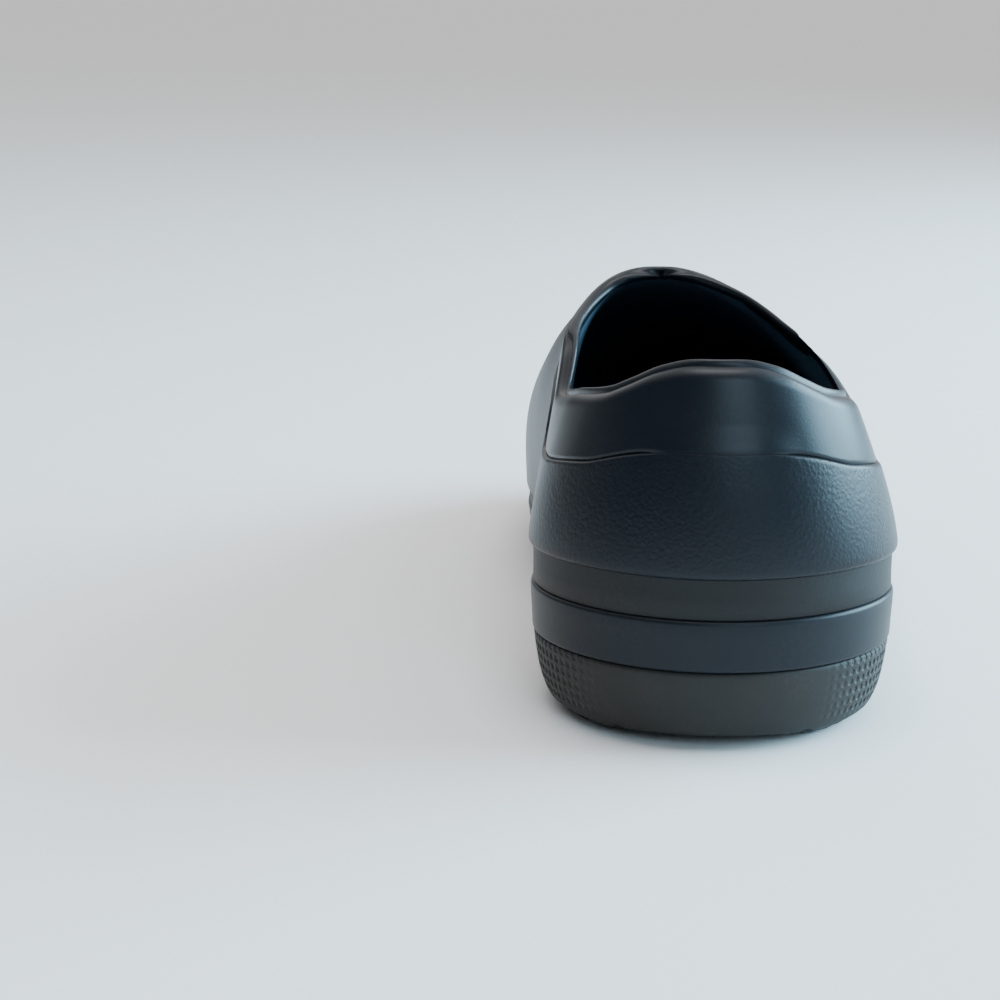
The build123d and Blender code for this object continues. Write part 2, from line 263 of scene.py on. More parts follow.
class Skin:
    """Grids of points in millimetres, welded into one closed mesh."""

    def __init__(self):
        self.points = []
        self.faces = []
        self.marks = []

    def add(self, columns, marks=None, closed=False):
        """Quads between neighbouring columns of points; marks are (along, up) in metres for the UV map."""
        start = len(self.points)
        n = len(columns[0])
        for column in columns:
            self.points.extend(column)
        rows = n if closed else n - 1
        for i in range(len(columns) - 1):
            for j in range(rows):
                corners = ((i, j), (i + 1, j), (i + 1, (j + 1) % n), (i, (j + 1) % n))
                self.faces.append([start + a * n + b for a, b in corners])
                if marks:
                    self.marks.append([marks[a][b] for a, b in corners])
                else:
                    self.marks.append([(0.0, 0.0)] * 4)

    def across(self, right, left, steps=6):
        """A sheet between the last points of the two sides."""
        columns = []
        for a, b in zip(right, left):
            columns.append([tuple(p + (q - p) * k / steps for p, q in zip(a, b)) for k in range(steps + 1)])
        self.add(columns)

    def build(self, name, material, angle=40):
        mesh = bpy.data.meshes.new(name)
        mesh.from_pydata([[c * MM for c in p] for p in self.points], [], self.faces)
        layer = mesh.uv_layers.new(name="wrap")
        for polygon, marks in zip(mesh.polygons, self.marks):
            for loop, mark in zip(polygon.loop_indices, marks):
                layer.data[loop].uv = mark
        work = bmesh.new()
        work.from_mesh(mesh)
        bmesh.ops.remove_doubles(work, verts=work.verts, dist=0.00002)
        bmesh.ops.dissolve_degenerate(work, edges=work.edges, dist=0.000005)
        bmesh.ops.holes_fill(work, edges=[edge for edge in work.edges if edge.is_boundary], sides=0)
        bmesh.ops.recalc_face_normals(work, faces=work.faces)
        work.to_mesh(mesh)
        work.free()
        obj = bpy.data.objects.new(name, mesh)
        bpy.context.scene.collection.objects.link(obj)
        mesh.materials.append(material)
        mesh.shade_smooth()
        mesh.set_sharp_from_angle(angle=math.radians(angle))
        return obj


def outline_marks(stations, inset, rows):
    """(along, up) marks for a wall: distance round from the heel, and height up the wall."""
    out, run, last = [], 0.0, None
    for v in stations:
        x, y, _ = sole_point(True, v, inset, 0)
        if last:
            run += math.dist(last, (x, y))
        last = (x, y)
        out.append([(run * MM, h * MM) for h in rows(v)])
    return out


SOLE_STATIONS = places((0, HEEL, 40, "start"), (HEEL, 200, 70, ""), (200, LENGTH, 60, "end"))
UPPER_STATIONS = places(
    (0, HEEL, 44, "start"),
    (HEEL, 62, 10, ""),
    (62, 80, 24, ""),
    (80, THROAT_V, 34, "end"),
    (THROAT_V, PANEL_V, 22, "end"),
    (PANEL_V, 200, 34, ""),
    (200, LENGTH, 56, "end"),
)


def top_of(v, inset, drop=0.0):
    """Top of a skin under the rim or, past the throat, at the ridge."""
    return min(rim_line(v) - drop, ridge(v) - inset)


def spread(low, high, count, v):
    """Heights from low to high, bunched towards the ridge where the skin closes over."""
    closing = ease((v - 85) / 40)
    out = []
    for i in range(count + 1):
        t = i / count
        t = (1 - closing) * t + closing * math.sin(math.pi / 2 * t)
        out.append(low + (high - low) * t)
    return out


LIP_POINTS = 5  # round the shell's lip, where it turns in under the collar
SEAT_STEPS = 8  # up the face that shell and collar share
CLOSED_STATIONS = 90  # last stations, ahead of the collar, where the inner skin meets at the ridge

thin_span = smooth_through((60, 0), (90, 1), (108, 1), (THROAT_V, 0))


def inner_inset(outer, v, z):
    """Depth of the inner skin: the vamp's rim is thinner on the outer side and fuller on the arch side."""
    change = (-1.7 if outer else 0.7) * thin_span(v)
    return cavity_inset(v, z) + change * ease((z - rim_line(v) + 15) / 12)


def edge_depth(v):
    """The collar's lower edge sinks in at the sides and runs out flush behind the heel."""
    return 0.06 + 0.94 * ease((v - 1.0) / 5.5)


def shell_columns(outer):
    """Columns of the upper shell, from the middle of its underside up, over the edge and down inside."""
    outside, inside = [], []
    for v in UPPER_STATIONS:
        base = shell_edge(v)
        edge = min(panel_line(v), ridge(v))
        past = v > PANEL_V - 1e-6
        column = [sole_point(outer, v, TUB_INSET, seat_line(v)), sole_point(outer, v, TUB_INSET, base)]
        column += [sole_point(outer, v, i, base) for i in (5.0, 3.0, 1.3)]
        column += [skin_point(outer, v, i, base + h) for i, h in ((0.65, 0.25), (0.25, 0.7), (0.05, 1.3))]
        deep = edge_depth(v)
        lip = 0.0 if past else 0.8 * deep
        column += [skin_point(outer, v, 0.0, z) for z in spread(base + 2.0, edge - lip, 56, v)]
        core = COLLAR_STEP + COLLAR_DEPTH + 0.05
        if past:
            column += [column[-1]] * (LIP_POINTS + SEAT_STEPS + 1)
        else:
            column += [skin_point(outer, v, i, min(edge - lip + h * deep, ridge(v) - i)) for i, h in
                       ((0.1 * deep, 0.45), (0.4 * deep, 0.72), (0.9, 0.8), (2.0, 0.8), (core, 0.8))]
            top = top_of(v, core, 3.0)
            column += [skin_point(outer, v, core, z) for z in spread(edge, max(top, edge), SEAT_STEPS, v)]
        outside.append(column)
        ceiling = top_of(v, WALL, 3.0)
        floor = floor_line(v)
        rows = spread(floor, ceiling, 44, v)
        depths = [inner_inset(outer, v, z) for z in rows]
        inside.append([skin_point(outer, v, i, min(z, ridge(v) - i)) for i, z in zip(depths, rows)])
    return outside, inside


def rim_normal(v):
    """Upward normal of the rim in side view."""
    slope = (rim_line(v + 0.2) - rim_line(v - 0.2)) / 0.4
    size = math.hypot(1, slope)
    return (0.0, -slope / size, 1 / size)


rim_rounding = smooth_through((0, 3.0), (40, 3.2), (70, 3.6), (84, 3.4), (88.5, 0.7), (119, 0.6))


def collar_columns(outer):
    """Columns of the heel collar: outer face, rim, inner lip and the face against the shell."""
    faces, rims, backs = [], [], []
    for v in [s for s in UPPER_STATIONS if s <= PANEL_V + 1e-6]:
        bottom = min(panel_line(v) + 0.05, ridge(v) - COLLAR_STEP)
        core = COLLAR_STEP + COLLAR_DEPTH
        height = 1.5
        top = ridge(v) - COLLAR_STEP if v > THROAT_V else min(rim_line(v) - height, ridge(v) - COLLAR_STEP)
        top = max(bottom, top)
        deep = edge_depth(v)
        radius = rim_rounding(v)
        column = []
        for z in spread(bottom, top, 40, v):
            down = min(rim_line(v) - height - z, radius)
            inset = COLLAR_STEP + 0.8 * (radius - math.sqrt(max(0.0, radius**2 - (radius - down) ** 2)))
            lift = 1 - ease((z - bottom) / 7)
            inset -= COLLAR_STEP * (1 - deep) * lift
            inset += 0.5 * deep * (1 - ease((z - bottom) / 0.8))
            column.append(skin_point(outer, v, inset, min(z, ridge(v) - inset)))
        faces.append(column)
        under = min(top_of(v, core, 3.0), ridge(v) - core)
        heights = spread(min(bottom, under), under, SEAT_STEPS, v)
        backs.append([skin_point(outer, v, core, z) for z in heights])
        if v <= THROAT_V + 1e-6:
            normal = rim_normal(v)
            a = column[-1]
            depth = inner_inset(outer, v, rim_line(v))
            b = skin_point(outer, v, depth, min(rim_line(v) - height, ridge(v) - depth))
            bead = []
            for k in range(1, 10):
                turn = math.pi * k / 10
                bead.append(tuple(
                    (p + q) / 2 + (p - q) / 2 * math.cos(turn) + n * height * math.sin(turn)
                    for p, q, n in zip(a, b, normal)
                ))
            depth = inner_inset(outer, v, rim_line(v) - 3)
            lip = skin_point(outer, v, depth, min(rim_line(v) - 3, ridge(v) - depth))
            rims.append([a, *bead, b, lip, backs[-1][-1]])
    return faces, rims, backs


def make_shell(material):
    skin = Skin()
    sides = [shell_columns(outer) for outer in (True, False)]
    for outside, inside in sides:
        skin.add(outside)
        # The inner skin's wrap marks are all 1, which picks the painted bounce-light colour in the material.
        skin.add(inside, [[(1.0, 1.0)] * len(column) for column in inside])
        skin.add([[a[-1], b[-1]] for a, b, v in zip(outside, inside, UPPER_STATIONS) if v <= THROAT_V + 1e-6])
    (right, right_in), (left, left_in) = sides
    skin.across([c[0] for c in right], [c[0] for c in left])
    skin.across([c[0] for c in right_in], [c[0] for c in left_in])
    right_top, left_top = ([c[-1] for c in side_in[-CLOSED_STATIONS:]] for side_in in (right_in, left_in))
    skin.across(right_top, left_top, 1)
    return skin.build("upper_skin", material)


def make_collar(material):
    skin = Skin()
    for outer in (True, False):
        faces, rims, backs = collar_columns(outer)
        skin.add(faces)
        skin.add(rims)
        skin.add(backs)
        skin.add([[a[0], b[0]] for a, b in zip(faces, backs)])
    return skin.build("collar_skin", material)


def wall_piece(name, material, rows, stations=SOLE_STATIONS, ends=True, closed=False, wrap=None, steps=6):
    """A piece that follows the plan outline: rows(v) lists (inset, height) round its wall."""
    skin = Skin()
    sides = []
    for outer in (True, False):
        columns = [[sole_point(outer, v, inset, z) for inset, z in rows(v)] for v in stations]
        marks = outline_marks(stations, 2.0, lambda v: [z for _, z in rows(v)]) if wrap else None
        skin.add(columns, marks, closed)
        sides.append(columns)
    if ends:
        for k in (0, -1):
            skin.across([c[k] for c in sides[0]], [c[k] for c in sides[1]], steps)
    return skin.build(name, material)


def rounded(inset_a, z_a, inset_b, z_b, radius):
    """Rows of a wall from bottom to top with both edges rounded."""
    quarter = [i * math.pi / 10 for i in range(6)]
    low = [(inset_a + radius * (1 - math.sin(t)), z_a + radius * (1 - math.cos(t))) for t in quarter]
    high = [(inset_b + radius * (1 - math.cos(t)), z_b - radius * (1 - math.sin(t))) for t in quarter]
    return low, high


def midsole_rows(v):
    inner = BAND_INSET + BAND_THICKNESS
    low = TREAD_INSET + TREAD_WALL
    return [
        (low, max(sole_line(v), 0) + TREAD_FLOOR),
        (low, tread_edge(v)),
        (inner, tread_edge(v)),
        (inner, strip_edge(v)),
        (STRIP_INSET + 0.4, strip_edge(v)),
        (STRIP_INSET, strip_edge(v) + 0.5),
        (STRIP_INSET + 0.1, (strip_edge(v) + shell_edge(v)) / 2),
        (STRIP_INSET, shell_edge(v)),
        (TUB_INSET, shell_edge(v)),
        (TUB_INSET, seat_line(v)),
    ]


def band_rows(v):
    low, high = rounded(BAND_INSET + 0.5, tread_edge(v) + 0.05, BAND_INSET, strip_edge(v), 1.1)
    inner = BAND_INSET + BAND_THICKNESS
    middle = [
        (BAND_INSET + 0.5 - 0.5 * ease(t), tread_edge(v) + (strip_edge(v) - tread_edge(v)) * t)
        for t in (0.3, 0.4, 0.5, 0.6, 0.7)
    ]
    return [(inner, tread_edge(v) + 0.05)] + low + middle + high + [(inner, strip_edge(v))]


def outsole_rows(v):
    top = tread_edge(v)
    bottom = ground_line(v)
    rows = [(TREAD_INSET + TREAD_WALL, max(sole_line(v), 0) + TREAD_FLOOR), (TREAD_INSET + TREAD_WALL, top)]
    rows += [(TREAD_INSET + 0.7, top), (TREAD_INSET + 0.25, top - 0.25), (TREAD_INSET + 0.03, top - 0.8)]
    lip = bottom + 1.2
    for k in range(1, 31):
        z = top - 0.8 + (lip - top + 0.8) * k / 30
        rows.append((TREAD_INSET + TREAD_TAPER * taper_share(z), z))
    start = rows[-1][0]
    for inset, z in ((0.7, 0.7), (1.5, 0.3), (2.6, 0.0)):
        rows.append((start + inset, bottom + z))
    return rows


def footbed_rows(v):
    inset = CAVITY_INSET + INSOLE_GAP
    low, high = rounded(inset, insole_line(v), inset, footbed_line(v), 0.6)
    return low + high


def cover_rows(v):
    inset = CAVITY_INSET + INSOLE_GAP
    low, high = rounded(inset, footbed_line(v) + 0.02, inset, footbed_line(v) + COVER, 0.5)
    return low + high


# Tread, cut by Geometry Nodes


def tread_cutter():
    """A run of swept-back grooves: points under each groove's ceiling are raised to it."""
    tree = bpy.data.node_groups.new("tread_cutter", "GeometryNodeTree")
    tree.interface.new_socket("Geometry", in_out="INPUT", socket_type="NodeSocketGeometry")
    sizes = (("First", 0.0), ("Last", 3.0), ("Pitch", 0.013), ("Width", 0.003), ("Depth", 0.003),
             ("Sweep", math.radians(24)), ("Draft", 0.0006))
    for label, default in sizes:
        socket = tree.interface.new_socket(label, in_out="INPUT", socket_type="NodeSocketFloat")
        socket.default_value = default
    tree.interface.new_socket("Material", in_out="INPUT", socket_type="NodeSocketMaterial")
    tree.interface.new_socket("Geometry", in_out="OUTPUT", socket_type="NodeSocketGeometry")
    given, out = tree.nodes.new("NodeGroupInput"), tree.nodes.new("NodeGroupOutput")

    def math_node(operation, *values):
        return calc(tree, operation, *values)

    split = add(tree, "ShaderNodeSeparateXYZ", [(0, add(tree, "GeometryNodeInputPosition").outputs[0])])
    aside = math_node("ABSOLUTE", split.outputs[0])
    swept = math_node("MULTIPLY", aside, math_node("TANGENT", given.outputs["Sweep"]))
    place = math_node("SUBTRACT", math_node("ADD", split.outputs[1], swept), given.outputs["First"])
    number = math_node("ROUND", math_node("DIVIDE", place, given.outputs["Pitch"]))
    number = math_node("MINIMUM", math_node("MAXIMUM", number, 0.0), given.outputs["Last"])
    away = math_node("SUBTRACT", place, math_node("MULTIPLY", number, given.outputs["Pitch"]))
    away = math_node("MULTIPLY", math_node("ABSOLUTE", away), math_node("COSINE", given.outputs["Sweep"]))
    half = math_node("MULTIPLY", given.outputs["Width"], 0.5)
    wall = add(tree, "ShaderNodeMapRange", [
        ("Value", away), ("From Min", half), ("From Max", math_node("ADD", half, given.outputs["Draft"])),
        ("To Min", given.outputs["Depth"]), ("To Max", 0.0),
    ]).outputs[0]
    above = add(tree, "GeometryNodeInputNamedAttribute", [("Name", "above")], data_type="FLOAT").outputs[0]
    lift = math_node("MAXIMUM", math_node("SUBTRACT", wall, above), 0.0)
    offset = add(tree, "ShaderNodeCombineXYZ", [(2, lift)]).outputs[0]
    moved = add(tree, "GeometryNodeSetPosition", [("Geometry", given.outputs[0]), ("Offset", offset)])
    real = add(tree, "GeometryNodeRealizeInstances", [(0, moved.outputs[0])])
    done = add(tree, "GeometryNodeSetMaterial",
               [("Geometry", real.outputs[0]), ("Material", given.outputs["Material"])])
    tree.links.new(done.outputs[0], out.inputs[0])
    return tree


TREAD_STATIONS = places((0, HEEL, 70, "start"), (HEEL, 200, 210, ""), (200, LENGTH, 130, "end"))


DIMPLE_PITCH, DIMPLE_DEPTH = 0.0026, 0.00035
DIMPLE_START, DIMPLE_RUN_IN = 0.026, 0.024  # from the middle of the heel round to the first full dimple


def press_dimples(mesh):
    """Rows of shallow dimples pressed into the wall, fading out behind the heel."""
    marks = {}
    uvs = mesh.uv_layers["wrap"].data
    for loop, mark in zip(mesh.loops, uvs):
        if mark.uv[0] > 0:
            marks[loop.vertex_index] = tuple(mark.uv)
    dents = {}
    for index, (run, height) in marks.items():
        vertex = mesh.vertices[index]
        top = tread_edge(vertex.co.y / MM + MIDDLE) * MM
        shown = ease((run - DIMPLE_START) / DIMPLE_RUN_IN)
        shown *= ease((height - 0.0035) / 0.0015) * ease((top - 0.0008 - height) / 0.0008)
        away = math.hypot(run / DIMPLE_PITCH % 1 - 0.5, height / DIMPLE_PITCH % 1 - 0.5)
        dents[index] = DIMPLE_DEPTH * shown * ease((0.46 - away) / 0.34)
    moves = {index: mesh.vertices[index].normal.copy() * -dent for index, dent in dents.items() if dent > 0}
    for index, move in moves.items():
        mesh.vertices[index].co += move


def make_outsole(material):
    """The outsole cup, its underside cut into heel and forefoot treads."""
    obj = wall_piece("outsole_cup", material, outsole_rows, TREAD_STATIONS, wrap=True, steps=72)
    above = obj.data.attributes.new("above", "FLOAT", "POINT")
    for vertex, item in zip(obj.data.vertices, above.data):
        item.value = vertex.co.z - max(0.0, sole_line(vertex.co.y / MM + MIDDLE)) * MM
    press_dimples(obj.data)
    tree = tread_cutter()
    sockets = {item.name: item.identifier for item in tree.interface.items_tree if item.in_out == "INPUT"}
    for label, start, count in (("heel_tread", 0.08, 4), ("forefoot_tread", 0.56, 8)):
        cutter = obj.modifiers.new(label, "NODES")
        cutter.node_group = tree
        cutter[sockets["First"]] = (start * LENGTH - MIDDLE) * MM
        cutter[sockets["Last"]] = float(count - 1)
        cutter[sockets["Material"]] = material
    bpy.context.view_layer.update()
    cut = bpy.data.meshes.new_from_object(obj.evaluated_get(bpy.context.evaluated_depsgraph_get()))
    obj.modifiers.clear()
    obj.data = cut
    cut.set_sharp_from_angle(angle=math.radians(40))
    return obj


# Materials


def nodes_of(material):
    material.use_nodes = True
    tree = material.node_tree
    tree.nodes.clear()
    return tree


def add(tree, kind, links=(), **values):
    """Adds a node, sets its properties and plugs (input name, value or output socket) pairs."""
    node = tree.nodes.new(kind)
    for key, value in values.items():
        setattr(node, key, value)
    for name, value in links:
        socket = node.inputs[name]
        if isinstance(value, bpy.types.NodeSocket):
            tree.links.new(value, socket)
        else:
            socket.default_value = value
    return node


def calc(tree, operation, *values):
    """Adds a math node and gives its result."""
    return add(tree, "ShaderNodeMath", list(enumerate(values)), operation=operation).outputs[0]


def noise(tree, vector, scale, detail):
    return add(tree, "ShaderNodeTexNoise", [("Vector", vector), ("Scale", scale), ("Detail", detail)])


def ramp(tree, value, low, high, shape="LINEAR"):
    """Adds a map that rises from 0 at low to 1 at high, and gives its result."""
    links = [("Value", value), ("From Min", low), ("From Max", high)]
    return add(tree, "ShaderNodeMapRange", links, interpolation_type=shape).outputs[0]


def new_group(name, inputs, outputs):
    tree = bpy.data.node_groups.new(name, "ShaderNodeTree")
    for label, kind, default in inputs:
        socket = tree.interface.new_socket(label, in_out="INPUT", socket_type=kind)
        if default is not None:
            socket.default_value = default
    for label, kind in outputs:
        tree.interface.new_socket(label, in_out="OUTPUT", socket_type=kind)
    return tree, tree.nodes.new("NodeGroupInput"), tree.nodes.new("NodeGroupOutput")


def moulded_grain():
    """Leather-like pebble grain of a moulded skin, broken up by a slower swell."""
    tree, given, out = new_group(
        "moulded_grain",
        [("Vector", "NodeSocketVector", None), ("Cell", "NodeSocketFloat", 0.0009),
         ("Depth", "NodeSocketFloat", 0.5)],
        [("Height", "NodeSocketFloat")],
    )
    place = given.outputs["Vector"]
    scale = calc(tree, "DIVIDE", 1.0, given.outputs["Cell"])
    warp = noise(tree, place, 420.0, 2.0)
    bent = add(tree, "ShaderNodeVectorMath", [(0, warp.outputs["Color"]), (1, (0.0006, 0.0006, 0.0006))],
               operation="MULTIPLY").outputs[0]
    bent = add(tree, "ShaderNodeVectorMath", [(0, place), (1, bent)], operation="ADD").outputs[0]
    cells = add(tree, "ShaderNodeTexVoronoi", [("Vector", bent), ("Scale", scale)], feature="SMOOTH_F1")
    swell = noise(tree, place, 90.0, 3.0)
    pebble = calc(tree, "SUBTRACT", 1.0, cells.outputs["Distance"])
    pebble = calc(tree, "MULTIPLY", pebble, given.outputs["Depth"])
    height = calc(tree, "MULTIPLY_ADD", swell.outputs["Fac"], 0.35, pebble)
    tree.links.new(height, out.inputs["Height"])
    return tree


def handling_wear():
    """Faint dust and rubbed patches: a colour shift and a roughness shift."""
    tree, given, out = new_group(
        "handling_wear",
        [("Vector", "NodeSocketVector", None), ("Color", "NodeSocketColor", (0.02, 0.02, 0.02, 1)),
         ("Dust", "NodeSocketColor", (0.09, 0.08, 0.07, 1)), ("Amount", "NodeSocketFloat", 0.2),
         ("Roughness", "NodeSocketFloat", 0.5)],
        [("Color", "NodeSocketColor"), ("Roughness", "NodeSocketFloat")],
    )
    broad = noise(tree, given.outputs["Vector"], 38.0, 5.0)
    fine = noise(tree, given.outputs["Vector"], 900.0, 2.0)
    patch = ramp(tree, broad.outputs["Fac"], 0.42, 0.72)
    speck = ramp(tree, fine.outputs["Fac"], 0.45, 0.8)
    mask = calc(tree, "MULTIPLY", patch, speck)
    both = calc(tree, "MULTIPLY_ADD", patch, 0.35, mask)
    amount = calc(tree, "MULTIPLY", both, given.outputs["Amount"])
    mix = add(tree, "ShaderNodeMix", data_type="RGBA")
    tree.links.new(amount, mix.inputs[0])
    tree.links.new(given.outputs["Color"], mix.inputs[6])
    tree.links.new(given.outputs["Dust"], mix.inputs[7])
    rough = calc(tree, "MULTIPLY_ADD", amount, 0.5, given.outputs["Roughness"])
    tree.links.new(mix.outputs[2], out.inputs["Color"])
    tree.links.new(rough, out.inputs["Roughness"])
    return tree


def dimple_rows():
    """Rows of small round dimples on the wrap map, fading out behind the heel."""
    tree, given, out = new_group(
        "dimple_rows",
        [("Vector", "NodeSocketVector", None), ("Pitch", "NodeSocketFloat", DIMPLE_PITCH),
         ("Low", "NodeSocketFloat", 0.004)],
        [("Height", "NodeSocketFloat")],
    )
    split = add(tree, "ShaderNodeSeparateXYZ", [(0, given.outputs["Vector"])])
    waves = []
    for k in (0, 1):
        cycle = calc(tree, "DIVIDE", split.outputs[k], given.outputs["Pitch"])
        off = calc(tree, "SUBTRACT", calc(tree, "FRACT", cycle), 0.5)
        waves.append(calc(tree, "POWER", off, 2.0))
    radius = calc(tree, "SQRT", calc(tree, "ADD", *waves))
    bowl = ramp(tree, radius, 0.16, 0.42, "SMOOTHSTEP")
    away = ramp(tree, split.outputs[0], DIMPLE_START, DIMPLE_START + DIMPLE_RUN_IN, "SMOOTHSTEP")
    above = ramp(tree, split.outputs[1], given.outputs["Low"], 0.006)
    show = calc(tree, "MULTIPLY", away, above)
    dip = calc(tree, "SUBTRACT", bowl, 1.0)
    tree.links.new(calc(tree, "MULTIPLY", dip, show), out.inputs["Height"])
    return tree


def rubber(name, color, roughness, cell, depth, bump, dust, specular=0.4, dimples=False, inside=None):
    """Moulded rubber: grained or smooth skin with handling wear, dimples, or a paler inside painted as bounce
    light.
    """
    material = bpy.data.materials.new(name)
    tree = nodes_of(material)
    place = add(tree, "ShaderNodeTexCoord").outputs["Object"]
    wear = add(tree, "ShaderNodeGroup", node_tree=bpy.data.node_groups["handling_wear"])
    tree.links.new(place, wear.inputs["Vector"])
    wear.inputs["Color"].default_value = (*color, 1)
    wear.inputs["Amount"].default_value = dust
    wear.inputs["Roughness"].default_value = roughness
    # Painted bounce light: the inner skin (wrap mark 1) takes a paler colour that stands in for light
    # reaching inside the opening. The rubber there is as dark as outside.
    if inside:
        wrap = add(tree, "ShaderNodeUVMap", uv_map="wrap").outputs[0]
        share = add(tree, "ShaderNodeSeparateXYZ", [(0, wrap)]).outputs[0]
        bounce_light_mix = add(tree, "ShaderNodeMix", data_type="RGBA")
        tree.links.new(share, bounce_light_mix.inputs[0])
        bounce_light_mix.inputs[6].default_value = (*color, 1)
        bounce_light_mix.inputs[7].default_value = (*inside, 1)
        tree.links.new(bounce_light_mix.outputs[2], wear.inputs["Color"])
    grain = add(tree, "ShaderNodeGroup", node_tree=bpy.data.node_groups["moulded_grain"])
    tree.links.new(place, grain.inputs["Vector"])
    grain.inputs["Cell"].default_value = cell
    grain.inputs["Depth"].default_value = depth
    normal = add(tree, "ShaderNodeBump", [("Height", grain.outputs["Height"]), ("Strength", bump),
                                          ("Distance", 0.0002)]).outputs[0]
    if dimples:
        wrap = add(tree, "ShaderNodeUVMap", uv_map="wrap").outputs[0]
        dots = add(tree, "ShaderNodeGroup", node_tree=bpy.data.node_groups["dimple_rows"])
        tree.links.new(wrap, dots.inputs["Vector"])
        normal = add(tree, "ShaderNodeBump", [("Height", dots.outputs["Height"]), ("Strength", 1.0),
                                              ("Distance", 0.0006), ("Normal", normal)]).outputs[0]
    shader = add(tree, "ShaderNodeBsdfPrincipled", [
        ("Base Color", wear.outputs["Color"]), ("Roughness", wear.outputs["Roughness"]), ("Normal", normal),
        ("Specular IOR Level", specular),
    ])
    out = add(tree, "ShaderNodeOutputMaterial")
    tree.links.new(shader.outputs[0], out.inputs[0])
    return material


def knit(name, color):
    """Dark knitted cloth of the insole's top."""
    material = bpy.data.materials.new(name)
    tree = nodes_of(material)
    place = add(tree, "ShaderNodeTexCoord").outputs["Object"]
    ribs = add(tree, "ShaderNodeTexWave", [("Vector", place), ("Scale", 420.0), ("Distortion", 1.2),
                                           ("Detail", 1.0), ("Detail Scale", 2.0)], bands_direction="X")
    rows = add(tree, "ShaderNodeTexWave", [("Vector", place), ("Scale", 300.0), ("Distortion", 1.0)],
               bands_direction="Y")
    weave = calc(tree, "MULTIPLY", ribs.outputs["Fac"], rows.outputs["Fac"])
    wear = add(tree, "ShaderNodeGroup", node_tree=bpy.data.node_groups["handling_wear"])
    tree.links.new(place, wear.inputs["Vector"])
    wear.inputs["Color"].default_value = (*color, 1)
    wear.inputs["Amount"].default_value = 0.25
    wear.inputs["Roughness"].default_value = 0.9
    normal = add(tree, "ShaderNodeBump", [("Height", weave), ("Strength", 0.6), ("Distance", 0.0003)])
    shader = add(tree, "ShaderNodeBsdfPrincipled", [
        ("Base Color", wear.outputs["Color"]), ("Roughness", wear.outputs["Roughness"]),
        ("Normal", normal.outputs[0]), ("Sheen Weight", 0.25), ("Specular IOR Level", 0.2),
    ])
    out = add(tree, "ShaderNodeOutputMaterial")
    tree.links.new(shader.outputs[0], out.inputs[0])
    return material


# Settings and operators


class ClogFinish(bpy.types.PropertyGroup):
    skin_color: FloatVectorProperty(name="Skin", description="Colour of the moulded rubber", subtype="COLOR",
                                    size=3, min=0, max=1, default=(0.0022, 0.0048, 0.0090))
    # Painted bounce light: a paler colour for the shell's inner skin that stands in for light inside the
    # opening. The rubber itself is as dark as the outside.
    inside_bounce_light_color: FloatVectorProperty(name="Inside", description="Colour of the shell's inner skin",
                                      subtype="COLOR", size=3, min=0, max=1, default=(0.055, 0.092, 0.130))
    foam_color: FloatVectorProperty(name="Foam", description="Colour of the recessed midsole strip",
                                    subtype="COLOR", size=3, min=0, max=1, default=(0.0060, 0.0062, 0.0070))
    tread_color: FloatVectorProperty(name="Outsole", description="Colour of the outsole rubber",
                                     subtype="COLOR", size=3, min=0, max=1, default=(0.0150, 0.0138, 0.0125))
    cloth_color: FloatVectorProperty(name="Insole cloth", description="Colour of the insole's top cloth",
                                     subtype="COLOR", size=3, min=0, max=1, default=(0.014, 0.018, 0.026))
    grain_size: FloatProperty(name="Grain", description="Size of one pebble of the moulded grain",
                              subtype="DISTANCE", unit="LENGTH", default=0.0009, min=0.0002, max=0.005)


class CLOG_OT_upper(bpy.types.Operator):
    """Make the moulded upper shell and the heel collar set into it"""

    bl_idname = "clog.upper"
    bl_label = "Upper and collar"

    def execute(self, context):
        finish = context.scene.clog_finish
        # The grained skin's inner side takes the painted bounce-light colour.
        skin = rubber("grained_skin", finish.skin_color, 0.38, finish.grain_size, 0.7, 0.5, 0.06, 0.25,
                      inside=finish.inside_bounce_light_color)
        smooth = rubber("smooth_skin", finish.skin_color, 0.36, 0.0006, 0.3, 0.25, 0.05, 0.27)
        shell = make_shell(skin)
        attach(shell, "clog")
        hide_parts("upper_shell")
        collar = make_collar(smooth)
        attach(collar, "clog")
        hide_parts("heel_collar")
        return {"FINISHED"}


class CLOG_OT_sole(bpy.types.Operator):
    """Make the midsole, the band round it and the outsole"""

    bl_idname = "clog.sole"
    bl_label = "Sole unit"

    def execute(self, context):
        finish = context.scene.clog_finish
        foam = rubber("strip_foam", finish.foam_color, 0.52, 0.0006, 0.4, 0.3, 0.10, 0.28)
        band = rubber("band_rubber", finish.skin_color, 0.42, 0.0005, 0.25, 0.2, 0.08, 0.26)
        tread = rubber("outsole_rubber", finish.tread_color, 0.60, 0.0005, 0.3, 0.2, 0.22, 0.32, dimples=True)
        pieces = (
            (wall_piece("midsole_tray", foam, midsole_rows), "midsole"),
            (wall_piece("sole_band", band, band_rows, ends=False, closed=True), "foxing_band"),
            (make_outsole(tread), "outsole"),
        )
        for piece, node in pieces:
            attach(piece, "clog")
            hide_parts(node)
        return {"FINISHED"}


